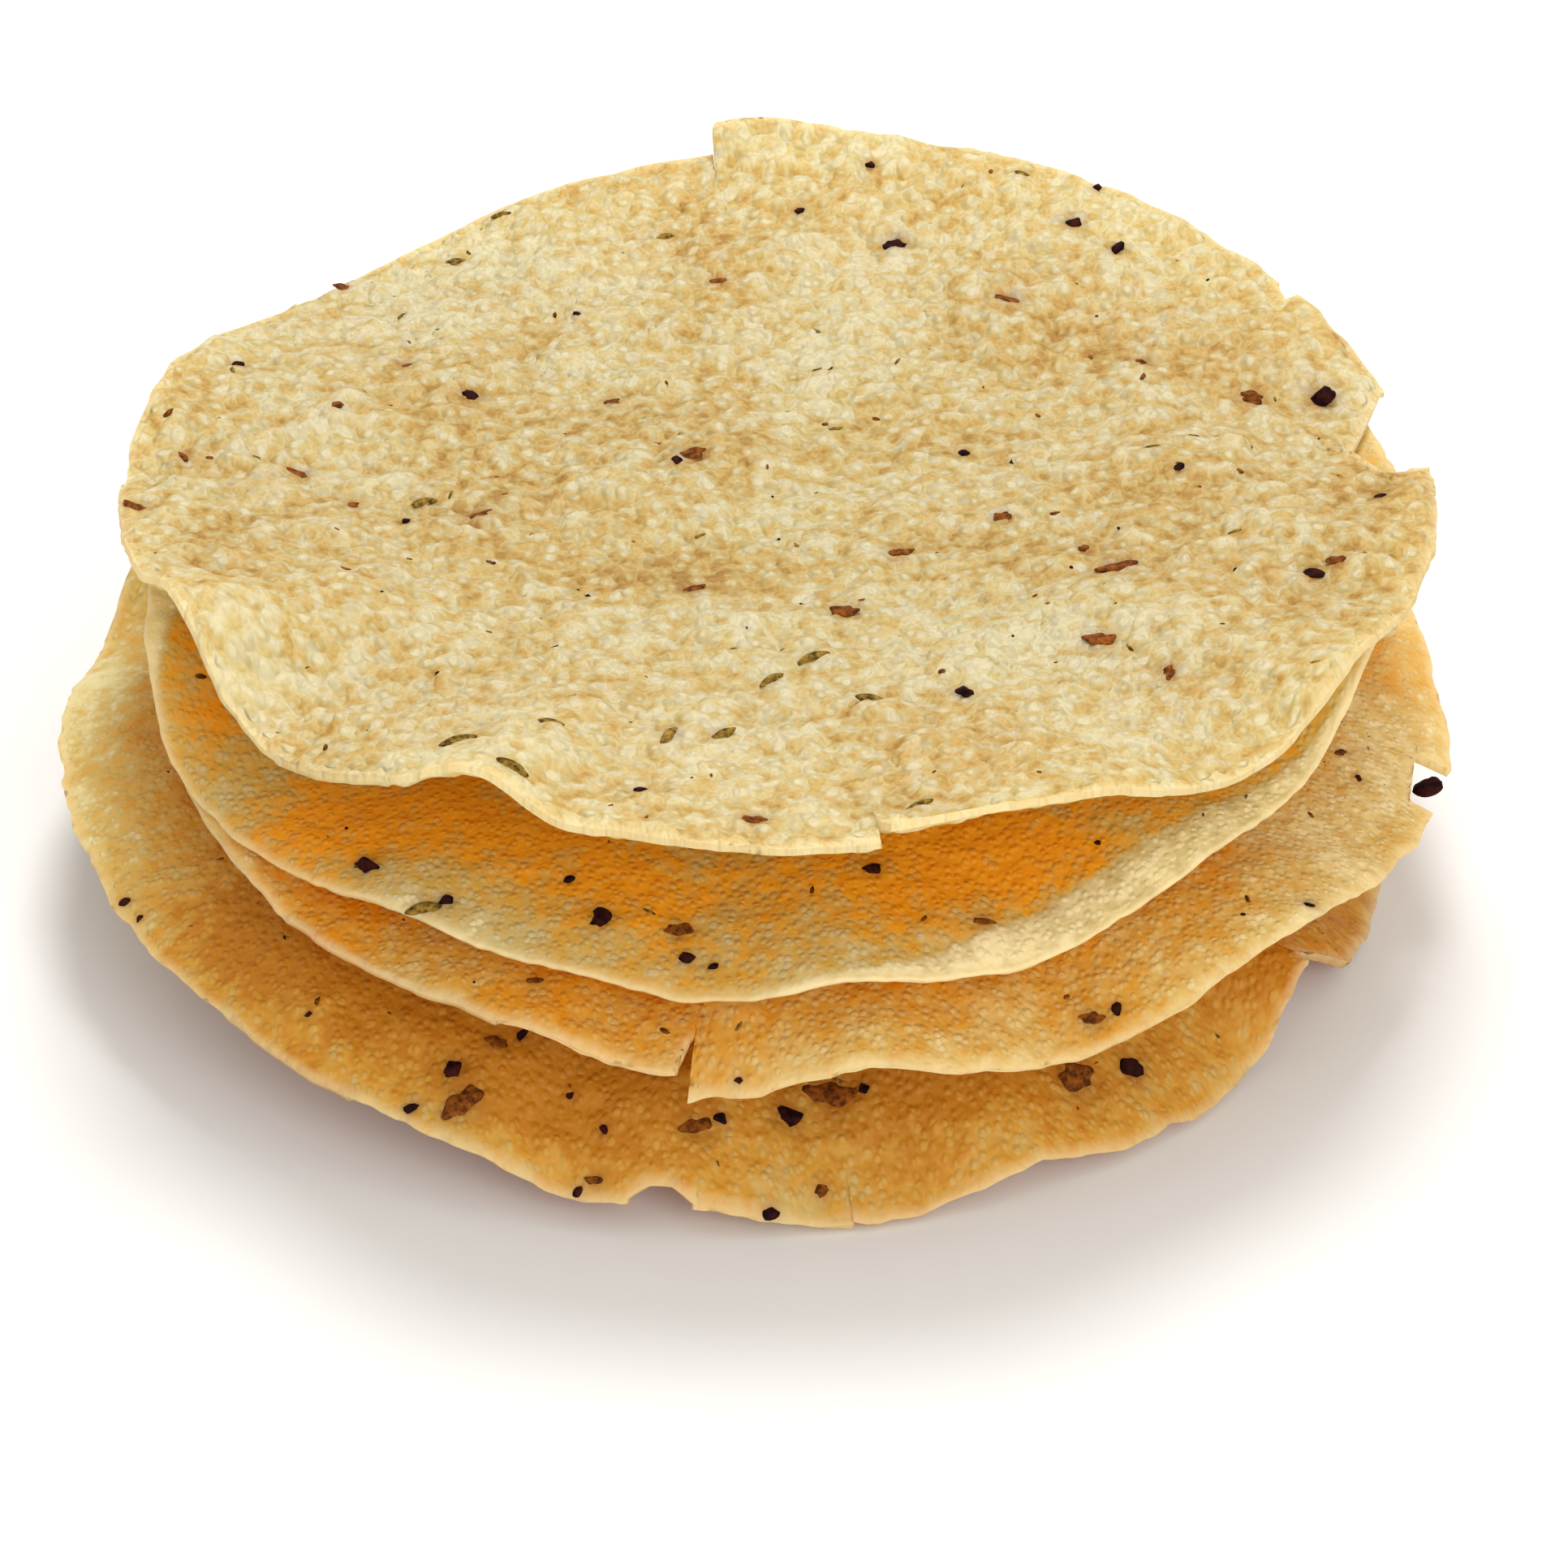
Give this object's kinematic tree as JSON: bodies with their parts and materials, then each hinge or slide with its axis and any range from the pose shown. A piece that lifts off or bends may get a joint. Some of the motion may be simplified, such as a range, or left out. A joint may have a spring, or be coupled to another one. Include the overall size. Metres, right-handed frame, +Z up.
{
  "type": "stack of papadums",
  "caption": "Stack of thin, crisp fried discs with ruffled, chipped and torn rims, speckled with pepper, cumin and chilli, lying loosely on one another.",
  "frame": {"origin": "on the table, below the middle of the stack's outline", "axes": "+Z up, out of the table; -Y towards the side that shows best; +X to the right as seen from there"},
  "size_m": [0.1789, 0.1746, 0.0622],
  "materials": {
    "pale_fried_dough": "dry, blistered, faintly oily fried lentil dough, cream to pale gold",
    "golden_fried_dough": "dry, blistered, faintly oily fried lentil dough, golden",
    "tan_fried_dough": "dry, blistered, faintly oily fried lentil dough, tan gold",
    "amber_fried_dough": "dry, blistered, faintly oily fried lentil dough, amber gold",
    "black_pepper": "cracked dry black pepper",
    "cumin_seed": "ridged dry cumin seed, olive brown",
    "chilli_flake": "fried chilli flake, rust brown"
  },
  "bodies": {
    "root": {"papadum_top": "pale_fried_dough", "papadum_second": "golden_fried_dough", "papadum_third": "tan_fried_dough", "papadum_bottom": "amber_fried_dough"}
  },
  "joints": []
}
